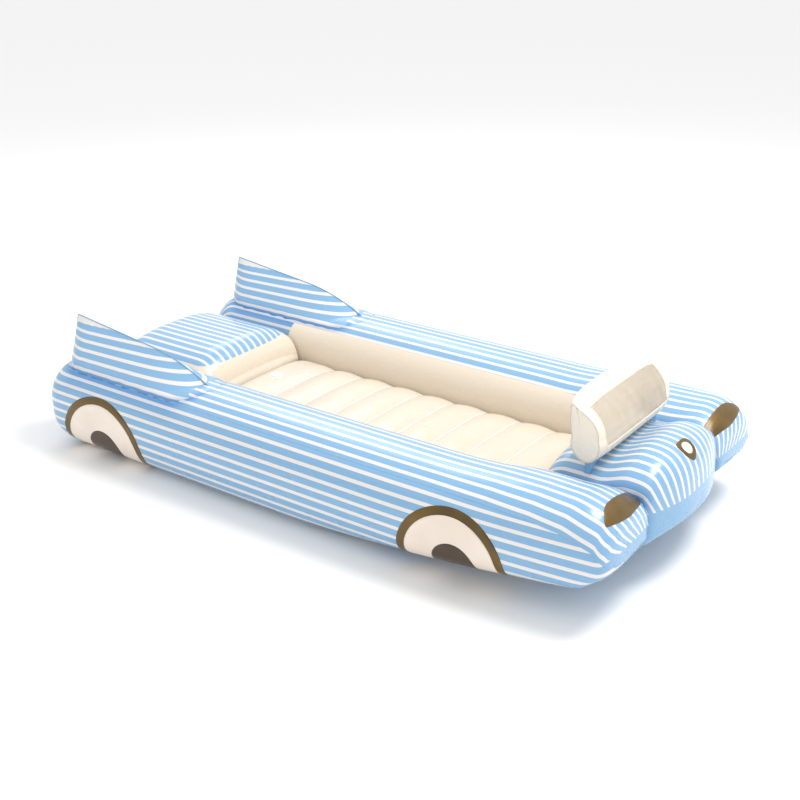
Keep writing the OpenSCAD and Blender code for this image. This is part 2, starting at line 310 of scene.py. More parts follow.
def noise(tree, scale, detail=3.0, stretch=None):
    where = add(tree, "ShaderNodeTexCoord").outputs["Object"]
    if stretch:
        where = add(tree, "ShaderNodeMapping", None, Vector=where, Scale=stretch).outputs[0]
    node = add(tree, "ShaderNodeTexNoise", None, Vector=where, Scale=scale, Detail=detail)
    return node.outputs["Fac"]


def linear(code):
    """A colour written as on a dye card, turned into the linear numbers that a shader wants."""
    parts = [int(code[k : k + 2], 16) / 255 for k in (0, 2, 4)]
    return tuple(((c + 0.055) / 1.055) ** 2.4 if c > 0.04 else c / 12.92 for c in parts) + (1,)


def gloss_between(tree, value, gloss, less, more):
    """Roughness that wanders round a gloss, as the value goes from 0.3 to 0.7."""
    node = add(tree, "ShaderNodeMapRange", None, i0=value, i1=0.3, i2=0.7, i3=gloss - less, i4=gloss + more)
    return node.outputs[0]


def film_surface(tree, shader, gloss=0.3, relief=0.12, stretch=(0.35, 1, 1)):
    """Stretch marks and fine grain of vinyl film, in gloss and in relief."""
    marks = noise(tree, 26, 4.0, stretch)
    grain = noise(tree, 900, 2.0)
    rough = gloss_between(tree, marks, gloss, 0.06, 0.09)
    height = sums(tree, "ADD", marks, sums(tree, "MULTIPLY", grain, 0.06))
    bump = add(tree, "ShaderNodeBump", None, Strength=relief, Distance=0.004, Height=height)
    tree.links.new(rough, shader.inputs["Roughness"])
    tree.links.new(bump.outputs[0], shader.inputs["Normal"])
    return marks


# %% [markdown]
# ### The striped print
# The film is printed with cream stripes on sky blue, all running along the car. On the
# side panel they lie level. Above the weld they run beside it, over the fender and down
# the front, where they stop at a clean line. Deep in a fold the blue is painted stronger
# and darker: painted shade, standing in for the shadow and for the light that bounces
# from film to film there. The mesh stores the distances, and the material only compares
# them.

# %% Striped film
SKY = linear("80ADD0")
# Darker blue, used both for the random stretch-mark tone and for the painted shade in folds.
SKY_MARKS_AND_FOLD_SHADE = linear("447FB8")
STRIPE = linear("E2DEDA")
CREAM = linear("E4D8C6")
STRIPE_PITCH = 30.0
STRIPE_SHARE = 0.34
STRIPE_BLUR = 0.018
WHOLE_STRIPES = 40


def read_value(tree, name):
    return add(tree, "ShaderNodeAttribute", {"attribute_name": name}).outputs["Fac"]


def stripe_mask(tree, distance):
    steps = sums(tree, "DIVIDE", distance, STRIPE_PITCH)
    turns = sums(tree, "FRACT", sums(tree, "ADD", steps, WHOLE_STRIPES))
    off_middle = sums(tree, "ABSOLUTE", sums(tree, "SUBTRACT", turns, 0.5))
    half = STRIPE_SHARE / 2
    return ramp_between(tree, off_middle, half + STRIPE_BLUR, half - STRIPE_BLUR)


def striped_finish(name):
    finish, tree, shader = start_finish(name)
    marks = film_surface(tree, shader, 0.27, 0.10)
    above = ramp_between(tree, read_value(tree, "above_weld"), -0.5, 0.5)
    level = stripe_mask(tree, read_value(tree, "level_line"))
    beside = stripe_mask(tree, read_value(tree, "beside_line"))
    choice = add(tree, "ShaderNodeMix", {"data_type": "FLOAT"}, i0=above, i2=level, i3=beside)
    white = choice.outputs[0]
    plain = ramp_between(tree, read_value(tree, "plain_area"), -0.6, 0.6)
    white = sums(tree, "MULTIPLY", white, sums(tree, "SUBTRACT", 1.0, plain))
    # Painted shade: the fold value darkens the blue and pulls the cream stripes towards dark blue in
    # creases.
    fold = read_value(tree, "fold")
    marks_and_fold_shade = sums(tree, "MULTIPLY_ADD", marks, 0.10, sums(tree, "MULTIPLY", fold, 0.8))
    blue = blend_colour(tree, marks_and_fold_shade, SKY, SKY_MARKS_AND_FOLD_SHADE)
    shade = blend_colour(tree, sums(tree, "MULTIPLY", fold, 0.35), STRIPE, SKY_MARKS_AND_FOLD_SHADE)
    colour = blend_colour(tree, white, blue, shade)
    cream = ramp_between(tree, read_value(tree, "cream_area"), -0.6, 0.6)
    colour = blend_colour(tree, cream, colour, CREAM)
    tree.links.new(colour, shader.inputs["Base Color"])
    shader.inputs["Coat Weight"].default_value = 0.35
    shader.inputs["Coat Roughness"].default_value = 0.12
    shader.inputs["Specular IOR Level"].default_value = 0.5
    return finish


striped_film = striped_finish("striped_film")
print("stripe pitch", STRIPE_PITCH, "mm, cream share", STRIPE_SHARE)

# %% [markdown]
# ### The plainer finishes
# The welds and the underside are plain sky blue. The windshield's band and the mattress
# are cream, the window is clear with a warm grey cast, and the prints for wheels and
# lights are a bronze ink with metal flakes.

# %% Plain films, ink and plastic


def plain_film(name, code, deep_code, gloss=0.3, relief=0.12, opacity=1.0, coat=0.3):
    finish, tree, shader = start_finish(name)
    marks = film_surface(tree, shader, gloss, relief, (1, 1, 1))
    colour = blend_colour(tree, marks, linear(code), linear(deep_code))
    tree.links.new(colour, shader.inputs["Base Color"])
    shader.inputs["Coat Weight"].default_value = coat
    shader.inputs["Coat Roughness"].default_value = 0.1
    shader.inputs["Alpha"].default_value = opacity
    return finish


def ink_finish(name, code, deep_code, metal, gloss, flakes=0.25):
    finish, tree, shader = start_finish(name)
    cloud = noise(tree, 9, 2.0)
    flake = noise(tree, 1400, 1.0)
    glitter = sums(tree, "MULTIPLY", sums(tree, "SUBTRACT", flake, 0.5), flakes)
    tone = sums(tree, "ADD", cloud, glitter)
    share = ramp_between(tree, tone, 0.3, 0.7)
    colour = blend_colour(tree, share, linear(code), linear(deep_code))
    tree.links.new(colour, shader.inputs["Base Color"])
    rough = gloss_between(tree, flake, gloss, 0.05, 0.08)
    tree.links.new(rough, shader.inputs["Roughness"])
    bump = add(tree, "ShaderNodeBump", None, Strength=0.05, Distance=0.001, Height=flake)
    tree.links.new(bump.outputs[0], shader.inputs["Normal"])
    shader.inputs["Metallic"].default_value = metal
    shader.inputs["Coat Weight"].default_value = 0.3
    shader.inputs["Coat Roughness"].default_value = 0.15
    return finish


blue_film = plain_film("blue_film", "82AFD2", "76A5CC")
cream_film = plain_film("cream_film", "DCD0BF", "D2C5B1", 0.32, 0.14)
shield_cream = plain_film("shield_cream", "FAEFDF", "F3E5D0", 0.24, 0.10, 0.93)
shield_clear = plain_film("shield_clear", "EDE4D4", "DDD1BD", 0.12, 0.45, 0.34, 0.7)
web_film = plain_film("web_film", "EDF2F5", "DDE6EC", 0.4, 0.1)
flap_film = plain_film("flap_film", "DDE1E2", "CED4D6", 0.35, 0.1)
valve_plastic = plain_film("valve_plastic", "F4F5F3", "E7E9E6", 0.38, 0.05, 1.0, 0.1)
bronze_ink = ink_finish("bronze_ink", "6C5218", "523E10", 0.45, 0.36)
hub_ink = ink_finish("hub_ink", "4A3623", "3B2A18", 0.15, 0.42)
cream_ink = ink_finish("cream_ink", "EDE1D4", "E6D8C9", 0.0, 0.40, 0.1)
print("finishes made:", len(bpy.data.materials))

# %% [markdown]
# ## The side chambers
# Each side chamber is one long tube that sweeps up at the nose and grows a fender. Its
# film is three panels: a side panel, a top panel and an underside. The weld between side
# and top stays level along the car and falls to the corner at the nose.
# The mesh is lofted, and then pushed: in under the foot of the fin, where the two films
# are welded, and in small waves beside every weld.

# %% Side chamber outline
END_TAIL, END_NOSE = 112, 126
TUBE_MIDDLE = belly + 2
WELD_X = [tail, 619, 741, 836, 919, 945, nose + 2]
WELD_Z = [257, 256, 251, 240, 215, 190, 156]
NOSE_SLOPE, NOSE_LIP = 0.755, 6
fin_back, fin_front = tail + 15, -388
FIN_ROOT, FIN_TAPER = 104, 110


def sweep_up(x):
    return 85 * np.clip(x / 860, 0, 1.1) ** 1.3


def side_end(x):
    return max(0.08, min(end_round(x - tail, END_TAIL, 2.2), end_round(nose - x, END_NOSE, 2.7)))


def side_middle(x):
    return TUBE_MIDDLE + 12 * soft_step(x, 850, 950)


def side_crest(x):
    return mix(side_middle(x), side_crest_rear + 15 * soft_step(x, 420, 740), side_end(x))


def side_plan(x):
    return max(0.45, min(end_round(x - tail, 80, 2.6), end_round(nose - x, 32, 3)))


def tube_height(x, off):
    """Height of the film at a distance off the crest of the side chamber."""
    share = np.minimum(np.abs(off) / (side_plan(x) * 150), 1)
    return side_middle(x) + (side_crest(x) - side_middle(x)) * (1 - share**2.4) ** (1 / 2.4)


def side_ring(x):
    plan = side_plan(x)
    outer = 150 - 44 * np.clip((x - 300) / 645, 0, 1) ** 2
    inner = 150 + 34 * soft_step(x, 560, 660) + 16 * soft_step(x, 780, 860)
    middle = side_middle(x)
    low = mix(middle, sweep_up(x), side_end(x) * 0.985 + 0.015)
    low = max(low, middle - NOSE_LIP - NOSE_SLOPE * (nose - x))
    return film_ring(x, side_y, plan * inner, plan * outer, middle, side_crest(x), low,
                     (joint_y, 2 * half_width), 2.4, 3.2)


def fin_half(x):
    rear = end_round(x - fin_back + 1, FIN_TAPER, 1.35)
    front = end_round(fin_front + 14 - x, FIN_TAPER, 2)
    return FIN_ROOT * np.minimum(rear, front)


side_grid = FilmGrid(station_list(tail, nose, END_TAIL, END_NOSE, 8), side_ring)
print("side chamber:", side_grid.points.shape[0], "sections")

# %% Welds, folds and puckers of the side chamber
middle_ring, middle_arc = side_ring(0.0)
wall = slice(0, 2 * QUARTER_POINTS + 1)
LEVEL_Z, LEVEL_ARC = middle_ring[wall, 2], middle_arc[wall]


def level_line(z):
    """Distance up the side panel for a height, so that level stripes keep an even pitch."""
    return np.interp(z, LEVEL_Z, LEVEL_ARC)


def weld_arc(j):
    """Where the weld between side and top panel lies on section j."""
    part = slice(QUARTER_POINTS, 2 * QUARTER_POINTS + 1)
    height = np.interp(side_grid.x[j], WELD_X, WELD_Z)
    z, arc = side_grid.flat[j, part, 2], side_grid.arc[j, part]
    return np.interp(height, z, arc) + max(height - z[-1], 0), z[-1] - height


weld = np.array([weld_arc(j) for j in range(len(side_grid.x))])
x_grid = side_grid.flat[..., 0]
y_grid = side_grid.flat[..., 1]
z_grid = side_grid.flat[..., 2]
beside = side_grid.arc - weld[:, :1]
inner_half = np.arange(4 * QUARTER_POINTS)[None, :] > 2 * QUARTER_POINTS
above_weld = np.where(inner_half, np.minimum(beside, weld[:, 1:]), beside)
quarter_length = -side_grid.arc[:, :1]
lower_weld = -0.75 * quarter_length

fin_here = soft_step(x_grid, fin_back - 4, fin_back + 12)
fin_here = fin_here * (1 - soft_step(x_grid, fin_front, fin_front + 25))
top_side = z_grid > TUBE_MIDDLE + 60
foot_gap = np.abs(y_grid - side_y) - fin_half(x_grid)
foot_fold = np.exp(-((foot_gap / 15) ** 2)) * fin_here * top_side
foot_near = np.exp(-((foot_gap / 42) ** 2)) * fin_here * top_side * (foot_gap > 0)
joint_gap = np.abs(y_grid - joint_y)
beside_hood = np.exp(-(((z_grid - 262) / 40) ** 2)) * (x_grid > hood_low[0])
hood_fold = beside_hood * np.exp(-((joint_gap / 16) ** 2))

waves = pucker(x_grid, 3)
side_grid.push(
    -3.0 * foot_fold
    + 1.0 * foot_near * pucker(x_grid + 0.6 * foot_gap, 5, 30, 90)
    + 0.7 * np.exp(-((beside / 16) ** 2)) * waves * (weld[:, 1:] > 4)
    - 0.8 * np.exp(-((beside / 3.5) ** 2)) * (weld[:, 1:] > 4)
    + 0.9 * np.exp(-(((side_grid.arc - lower_weld) / 22) ** 2)) * pucker(x_grid, 9)
    + 1.2 * hood_fold * pucker(x_grid, 13, 30, 80)
)
side_grid.settle()
print("deepest fold beside the fin:", round(float(foot_fold.max() * 3), 1), "mm")

# %% [markdown]
# The print is described by five distances on the mesh: how far up the level stripes, how
# far from the weld, which panel, where the plain blue starts and where the cream lining
# of the cockpit starts. A sixth value, fold, sets how much painted shade darkens the film
# in the creases beside the fin's foot and the hood.

# %% Print distances of the side chamber
PLAIN_LINE = 190
HOOD_PLAIN_LINE = 208
LINING_LINE = 250
NO_PRINT = -50
plain_nose = np.minimum(above_weld, PLAIN_LINE - z_grid)
plain_under = lower_weld - side_grid.arc
plain_side = np.where(x_grid > hood_low[0], np.maximum(plain_under, plain_nose), plain_under)
in_cockpit = (x_grid > deck_high[0] - 60) & (x_grid < hood_low[0] + 60)
cream_side = np.where(inner_half & in_cockpit, LINING_LINE - z_grid, NO_PRINT)
side_values = {
    "level_line": level_line(z_grid),
    "beside_line": beside,
    "above_weld": above_weld,
    "plain_area": plain_side,
    "cream_area": cream_side,
    # Painted shade: weight of the darker blue in the creases at the fin's foot and beside the hood.
    "fold": np.clip(foot_fold * 0.9 + foot_near * 0.45 + hood_fold * 0.7, 0, 1),
}
for side, word in ((-1, "right"), (1, "left")):
    film = loft_piece("side_film_" + word, side_grid.points, striped_film, "body", side,
                      side_values)
    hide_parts("side_chamber_" + word)

# %% [markdown]
# ## The hood and the rear deck
# Between the side chambers lie two wide lobes. They are pressed flat where they touch
# the sides, so only the crown and the outer end show. The stripes run along them and
# down the end face, and stop at the same clean line.

# %% Hood and deck outline
HOOD_HALF, DECK_HALF, BOW_DEPTH = 246, 244, 45
hood_rear, hood_nose = hood_low[0], hood_high[0]
deck_tail, deck_front = deck_low[0], deck_high[0]
lobe_wall = hood_high[1]


def hood_ring(x):
    end = max(0.08, min(end_round(x - hood_rear, 90, 2.4), end_round(hood_nose - x, 112, 2.7)))
    bow = 0.894 * math.sqrt(max(hood_nose + 2 - x, 0) / BOW_DEPTH)
    plan = min(end_round(x - hood_rear + 30, 70, 2.6), bow, 1)
    crest = mix(300, hood_high[2], soft_step(x, 790, 880))
    middle = belly + 8 * soft_step(x, 880, 980)
    low = mix(middle, max(sweep_up(x), 4), end)
    low = max(low, middle - NOSE_LIP - NOSE_SLOPE * (hood_nose - x))
    return film_ring(x, 0, plan * HOOD_HALF, plan * HOOD_HALF, middle, mix(middle, crest, end), low,
                     (-lobe_wall, lobe_wall), 2.9, 3.2)


def deck_ring(x):
    end = max(0.2, min(end_round(x - deck_tail, 90, 2.4), end_round(deck_front - x, 90, 2.4)))
    plan = min(end_round(x - deck_tail + 30, 70, 2.6), end_round(deck_front - x + 30, 70, 2.6))
    return film_ring(x, 0, plan * DECK_HALF, plan * DECK_HALF, belly, mix(belly, deck_high[2], end),
                     mix(belly, 3, end), (-lobe_wall, lobe_wall), 2.8, 3.2)


hood_grid = FilmGrid(station_list(hood_rear, hood_nose, 90, 112, 7), hood_ring)
deck_grid = FilmGrid(station_list(deck_tail, deck_front, 90, 90, 8), deck_ring)


def lobe_values(grid, plain_line, lining_from, lining_to, seed):
    """Puckers, print distances and painted fold shade of a lobe. Its stripes are counted from the centre
    line.
    """
    x, y, z = grid.flat[..., 0], grid.flat[..., 1], grid.flat[..., 2]
    crest = grid.arc[:, 2 * QUARTER_POINTS][:, None]
    beside_centre = grid.arc - crest
    edge = np.exp(-(((np.abs(y) - lobe_wall) / 18) ** 2)) * np.exp(-(((z - 255) / 45) ** 2))
    grid.push(0.5 * edge * pucker(x, seed, 26, 70) - 1.0 * edge)
    grid.settle()
    lining = np.where((x > lining_from) & (x < lining_to), LINING_LINE - 12 - z, NO_PRINT)
    return {
        "level_line": beside_centre + STRIPE_PITCH / 2,
        "beside_line": beside_centre + STRIPE_PITCH / 2,
        "above_weld": np.full_like(x, 10.0),
        "plain_area": plain_line - z,
        "cream_area": lining,
        # Painted shade in the crease where the lobe presses on the side chambers.
        "fold": np.clip(edge * 0.8, 0, 1),
    }


hood_values = lobe_values(hood_grid, HOOD_PLAIN_LINE, 0, hood_rear + 100, 21)
deck_values = lobe_values(deck_grid, PLAIN_LINE - 30, deck_front - 100, 0, 23)
hood_film = loft_piece("hood_film", hood_grid.points, striped_film, "body", 1, hood_values)
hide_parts("hood_chamber")
deck_film = loft_piece("deck_film", deck_grid.points, striped_film, "body", 1, deck_values)
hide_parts("trunk_chamber")

# %% [markdown]
# ## The fins
# A fin is a pillow standing on the tube: two sheets welded along the top edge, with a wide
# foot that follows the round of the side chamber. The stripes go on level from the side
# panel. The weld round the edge is a flat flange, a few millimetres wide, which catches
# the light as a thin line.

# %% Fin pillows
FIN_BEND = -640
FIN_SLOPE = 0.118
FIN_SINK = 5
fin_tip = fin_high[2]


def fin_edge(x):
    top = fin_tip - FIN_SLOPE * (x - fin_back - 27) - 56 * np.clip((x - FIN_BEND) / 255, 0, 1) ** 2
    rear = 250 + (fin_tip - 250) * np.clip((x - fin_back) / 27, 0, 1) ** 0.7
    return np.minimum(top, rear)


def fin_ring(x):
    foot = fin_half(x)
    up = np.linspace(0, 1, 34) ** 0.9
    off = np.maximum(foot * (1 - up**1.25), 0.7)
    bottom = tube_height(x, foot) - FIN_SINK
    top = max(fin_edge(x), side_crest(x) + 3)
    fade = soft_step(x, fin_front - 70, fin_front)
    lift = mix(-FIN_SINK, mix(3, -4, fade), soft_step(up, 0, 0.14))
    z = np.maximum(mix(bottom, top - 7 * fade, up), tube_height(x, off) + lift)
    right = np.stack([np.full_like(z, x), side_y + off, z], 1)
    left = np.stack([np.full_like(z, x), side_y - off, z], 1)[::-1]
    return np.concatenate([right, left])


fin_rear_x = np.linspace(fin_back, fin_back + 30, 16)
fin_stations = np.concatenate([fin_rear_x, np.arange(fin_back + 36, fin_front, 7.5), [fin_front]])
fin_grid = np.array([fin_ring(x) for x in fin_stations])
fin_x, fin_z = fin_grid[..., 0], fin_grid[..., 2]
edge_z = fin_edge(fin_x)
near_edge = np.exp(-(((edge_z - fin_z) / 26) ** 2))
off_crest = np.abs(fin_grid[..., 1] - side_y)
near_foot = np.exp(-(((off_crest - fin_half(fin_x)) / 24) ** 2))
sheet = fin_ring(-800.0)[:34]
sheet_run = np.concatenate([[0], np.cumsum(np.hypot(np.diff(sheet[:, 1]), np.diff(sheet[:, 2])))])
sheet_side = np.sign(fin_grid[..., 1] - side_y)
wrinkle = 0.9 * near_edge * pucker(fin_x + 0.5 * fin_z, 31, 20, 55)
wrinkle = wrinkle + 1.4 * near_foot * pucker(fin_x - 0.4 * fin_z, 33, 30, 90)
calm_edge = np.where(off_crest < 1.5, 0.15, 1)
fin_grid[..., 1] += sheet_side * wrinkle * calm_edge * soft_step(off_crest, 1, 10)
fin_values = {
    "level_line": level_line(sheet[0, 2]) + np.interp(fin_z, sheet[:, 2], sheet_run),
    "beside_line": fin_z,
    "above_weld": np.full_like(fin_x, -10.0),
    "plain_area": np.full_like(fin_x, -10.0),
    "cream_area": np.full_like(fin_x, -10.0),
    # Painted shade in the crease at the fin's foot, low on the fin only.
    "fold": np.clip(np.exp(-(((off_crest - fin_half(fin_x)) / 9) ** 2)), 0, 1) * (fin_z < 275),
}
for side, word in ((-1, "right"), (1, "left")):
    film = loft_piece("fin_film_" + word, fin_grid, striped_film, "body", side, fin_values)
    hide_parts("fin_" + word)

# %% [markdown]
# ## Weld beads and flanges
# Film is joined by pressing a hot bar on it, which leaves a thin raised bead or a flat
# flange. Each one is a small closed strip swept along the line of the weld. A curve with
# a bevel would also do, but a swept mesh can keep its flat side on the film.

# %% Sweeping a strip along a line


def swept_strip(name, path, across, out, half, height, finish, body, side=1, closed=False):
    """A strip with a rounded back. path, across and out are one row for each step."""
    path, across, out = (np.array(v, float) for v in (path, across, out))
    turn = np.linspace(0, 2 * math.pi, 10, endpoint=False)
    grid = (path[:, None] + across[:, None] * (half * np.cos(turn))[None, :, None]
            + out[:, None] * (height * np.sin(turn))[None, :, None])
    rows, count = grid.shape[:2]
    if closed:
        faces = []
        for j in range(rows):
            for i in range(count):
                n, m = (i + 1) % count, (j + 1) % rows
                faces.append((j * count + i, j * count + n, m * count + n, m * count + i))
        points = grid.reshape(-1, 3)
    else:
        faces = loft_faces(rows, count)
        points = np.concatenate([grid.reshape(-1, 3), path[:1], path[-1:]])
    points = points * np.array([1, side, 1])
    piece = new_piece(name, points, faces, finish, body)
    tidy_normals(piece)
    return piece


def tidy_normals(piece):
    work = bmesh.new()
    work.from_mesh(piece.data)
    bmesh.ops.remove_doubles(work, verts=work.verts, dist=1e-6)
    bmesh.ops.recalc_face_normals(work, faces=work.faces)
    work.to_mesh(piece.data)
    work.free()


def tangents(path):
    step = np.gradient(np.array(path, float), axis=0)
    return step / np.maximum(np.linalg.norm(step, axis=1, keepdims=True), 1e-9)


# %% Welds of the side chambers and the fins
weld_x = np.concatenate([np.arange(tail + 40, 900, 12), np.linspace(900, nose - 3, 16)])
weld_on = np.interp(weld_x, side_grid.x, weld[:, 0])
lower_x = np.arange(tail + 50, nose - 20, 12.0)
lower_on = np.interp(lower_x, side_grid.x, lower_weld[:, 0])
flange_rear_x = np.linspace(fin_back, fin_back + 27, 14)
flange_x = np.concatenate([flange_rear_x, np.arange(fin_back + 33, fin_front - 4, 8)])
flange = np.stack([flange_x, np.full_like(flange_x, side_y), fin_edge(flange_x)], 1)
flange_foot = [[fin_back - 0.5, side_y, side_crest(fin_back) - 2], [fin_back - 0.2, side_y, 236]]
flange = np.concatenate([flange_foot, flange])
flange_out = np.cross(tangents(flange), [0.0, 1.0, 0.0])
flange_out *= np.where(flange_out[:, 2:] < -0.2, -1, 1)
flange_across = np.tile([0.0, 1.0, 0.0], (len(flange), 1))
SIDE_WELDS = (("side_weld_", weld_x, weld_on, 1.6), ("lower_weld_", lower_x, lower_on, 2.4))
for side, word in ((-1, "right"), (1, "left")):
    for name, xs, arcs, half in SIDE_WELDS:
        on_film, normal = side_grid.find(xs, "arc", arcs)
        across = np.cross(tangents(on_film), normal)
        strip = swept_strip(name + word, on_film, across, normal, half, 0.9, blue_film, "body", side)
    strip = swept_strip("fin_flange_" + word, flange, flange_across, flange_out, 0.8, 4.0,
                        blue_film, "body", side)
print("weld strips made")

# %% [markdown]
# ## Printed wheels, lights and badge
# Wheels, headlights and badge are only ink on the film. The ink follows the swell of the
# chamber, so a round wheel looks like a drop where the wall turns under. Each print is a
# skin well under a millimetre thick, laid on the looked-up film: bronze first, cream on
# it, and the dark hub last. The badge is kept to a plain six-sided plate with a disc.

# %% Ink skins


def ink_skin(name, inner, outer, place, lift, finish, side=1, rows=24):
    """A thin closed layer between two outlines that have the same number of points."""
    inner, outer = np.array(inner, float), np.array(outer, float)
    share = np.linspace(0, 1, rows)[:, None, None]
    flat = inner[None] * (1 - share) + outer[None] * share
    on_film, normal = place(flat[..., 0], flat[..., 1])
    count = len(outer)
    top, base = on_film + normal * (lift + 0.25), on_film + normal * (lift - 0.1)
    points = np.concatenate([top, base]) * np.array([1, side, 1])
    total = rows * count
    faces = []
    for j in range(rows - 1):
        for i in range(count - 1):
            quad = (j * count + i, j * count + i + 1, (j + 1) * count + i + 1, (j + 1) * count + i)
            faces.append(quad)
            faces.append(tuple(total + v for v in reversed(quad)))
    rim = [j * count for j in range(rows)] + [(rows - 1) * count + i for i in range(1, count)]
    rim += [j * count + count - 1 for j in range(rows - 2, -1, -1)]
    rim += list(range(count - 2, 0, -1))
    for a, b in zip(rim, rim[1:] + rim[:1]):
        faces.append((a, b, total + b, total + a))
    piece = new_piece(name, points, faces, finish, "body")
    tidy_normals(piece)
    return piece


def on_side_wall(xs, arcs):
    return side_grid.find(xs, "arc", arcs)


def on_fender_top(xs, ys):
    return side_grid.find(xs, "y", ys)


def on_hood_top(xs, ys):
    return hood_grid.find(xs, "y", ys)


def cut_disc(x, arc, radius, floor_arc, count=130):
    """The part of a disc above the lower weld: its round edge, and the straight cut under it."""
    depth = min(1.0, (arc - floor_arc) / radius)
    start = -math.asin(depth)
    angle = np.linspace(start, math.pi - start, count)
    edge = np.stack([x + radius * np.cos(angle), arc + radius * np.sin(angle)], 1)
    cut = edge[0] + (edge[-1] - edge[0]) * np.linspace(0, 1, count)[:, None]
    return cut, edge


# %% Wheels
WHEELS = {"rear": (-732, -105, 174, 150, 66, 4), "front": (543, -72, 160, 136, 63, 10)}
for end, (x, arc, tyre, face, hub, hub_shift) in WHEELS.items():
    floor_arc = float(np.interp(x, side_grid.x, lower_weld[:, 0])) + 2
    for side, word in ((-1, "right"), (1, "left")):
        layers = (
            ("tyre", tyre, 0, 0.4, bronze_ink),
            ("face", face, 0, 0.8, cream_ink),
            ("hub", hub, hub_shift, 1.2, hub_ink),
        )
        for part, radius, shift, lift, finish in layers:
            cut, edge = cut_disc(x + shift, arc, radius, floor_arc)
            name = "_".join(("wheel", part, end, word))
            ink_skin(name, cut, edge, on_side_wall, lift, finish, side)
print("wheel prints made")

# %% Headlights and badge


def softened(corners, rounds=2):
    """A closed outline with its corners cut back a little at each round."""
    line = np.array(corners, float)
    for _ in range(rounds):
        after = np.roll(line, -1, axis=0)
        line = np.stack([mix(line, after, 0.2), mix(line, after, 0.8)], 1).reshape(-1, 2)
    return line


def closed_outline(line, count=96):
    line = np.vstack([line, line[:1]])
    run = np.concatenate([[0], np.cumsum(np.hypot(*np.diff(line, axis=0).T))])
    want = np.linspace(0, run[-1], count)
    return np.stack([np.interp(want, run, line[:, 0]), np.interp(want, run, line[:, 1])], 1)


LAMP_CORNERS = [(895, 366), (894, 325), (894, 282), (893, 240), (902, 226), (922, 226), (930, 240),
                (935, 267), (941, 319), (938, 380), (928, 430), (914, 415), (901, 390)]
lamp_edge = closed_outline(softened(LAMP_CORNERS))
lamp_middle = np.tile(lamp_edge.mean(0), (len(lamp_edge), 1))
for side, word in ((-1, "right"), (1, "left")):
    ink_skin("headlight_" + word, lamp_middle, lamp_edge, on_fender_top, 0.4, bronze_ink, side)

BADGE_X = 942
BADGE_CORNERS = [(-22, -24), (-22, 24), (-8, 34), (14, 30), (26, 8), (26, -8), (14, -30), (-8, -34)]
badge_plate = closed_outline(softened([(BADGE_X + x, y) for x, y in BADGE_CORNERS], 1))
angle = np.linspace(0, 2 * math.pi, 60)
badge_disc = np.stack([BADGE_X + 1 + 14 * np.cos(angle), 19 * np.sin(angle)], 1)
plate_middle = np.tile([BADGE_X - 1, 0], (len(badge_plate), 1))
ink_skin("badge_plate", plate_middle, badge_plate, on_hood_top, 0.4, bronze_ink)
ink_skin("badge_disc", np.tile([BADGE_X - 1, 0], (60, 1)), badge_disc, on_hood_top, 0.8, cream_ink)
print("headlights and badge made")

# %% [markdown]
# ## The windshield
# The windshield is a wedge of its own, with a round foot and a thin top, welded to the
# hood along one line so that it can bend. Its band is cream film, a clear window is let
# into the front, and a drop-shaped panel closes each end. The clear film is under
# tension between the bands, so it stands in upright waves.

# %% Windshield outline
shield_x, shield_z = 760.0, 346.5
shield_top = shield_high[2]
shield_half = shield_high[1]
FOOT = 46
LEAN = -0.42


def shield_height(y):
    full = shield_top - shield_z
    share = np.clip(abs(y) / (shield_half + 3), 0, 1)
    return mix(full * 0.76, full, (1 - share**4.5) ** 0.5)


def shield_front(y, t):
    """The front panel: t runs from the foot (0) to the top (1)."""
    height = shield_height(y)
    start = np.array([FOOT * math.cos(math.radians(25)), FOOT * math.sin(math.radians(25))])
    end = np.array([LEAN * height + 7, height - 5])
    point = start + (end - start) * np.asarray(t)[:, None]
    point[:, 0] += 24 * np.sin(math.pi * np.asarray(t))
    return point


def shield_ring(y):
    """Closed outline: front panel down from the top, round the foot, up the back, over the top."""
    height = shield_height(y)
    front = shield_front(y, np.linspace(1, 0, 26))
    round_foot = np.radians(np.linspace(25, -200, 34))[1:]
    foot = np.stack([FOOT * np.cos(round_foot), FOOT * np.sin(round_foot)], 1)
    t = np.linspace(0, 1, 20)[1:]
    start, end = foot[-1], np.array([LEAN * height - 7, height - 5])
    back = start + (end - start) * t[:, None]
    back[:, 0] -= 3 * np.sin(math.pi * t)
    over = np.radians(np.linspace(180, 0, 10))[1:-1]
    top = np.stack([LEAN * height + 7 * np.cos(over), height - 5 + 5 * np.sin(over)], 1)
    line = np.concatenate([front, foot, back, top])
    narrow = 1 - 0.24 * min(abs(y) / shield_half, 1) ** 7
    line[:, 0] *= np.where(line[:, 0] > 0, narrow, 1)
    return np.stack([shield_x + line[:, 0], np.full(len(line), y), shield_z + line[:, 1]], 1)


shield_y = shield_half * np.sin(np.linspace(-math.pi / 2, math.pi / 2, 61))
shield_grid = np.array([shield_ring(y) for y in shield_y])
print("windshield", round(shield_top - shield_z + FOOT), "mm tall on its foot")

# %% Windshield film and window
WINDOW_ROWS = (5, 29)
WINDOW_EDGE = 26
inside = np.abs(shield_y) < shield_half - WINDOW_EDGE
first, last = int(np.argmax(inside)), int(len(inside) - np.argmax(inside[::-1]) - 1)
rows, count = shield_grid.shape[:2]
ripple = pucker(shield_grid[..., 1] + 0.25 * (shield_grid[..., 2] - shield_z), 41, 22, 55)
on_front = (np.arange(count) < 30)[None, :] * np.ones((rows, 1))
edge_pull = np.sin(np.pi * np.clip(np.arange(count) / 29, 0, 1))[None, :]
shield_normal = -grid_normals(shield_grid)
ripple_depth = 2.6 * ripple * on_front * (0.35 + 0.65 * edge_pull)
shield_grid = shield_grid + shield_normal * ripple_depth[..., None]


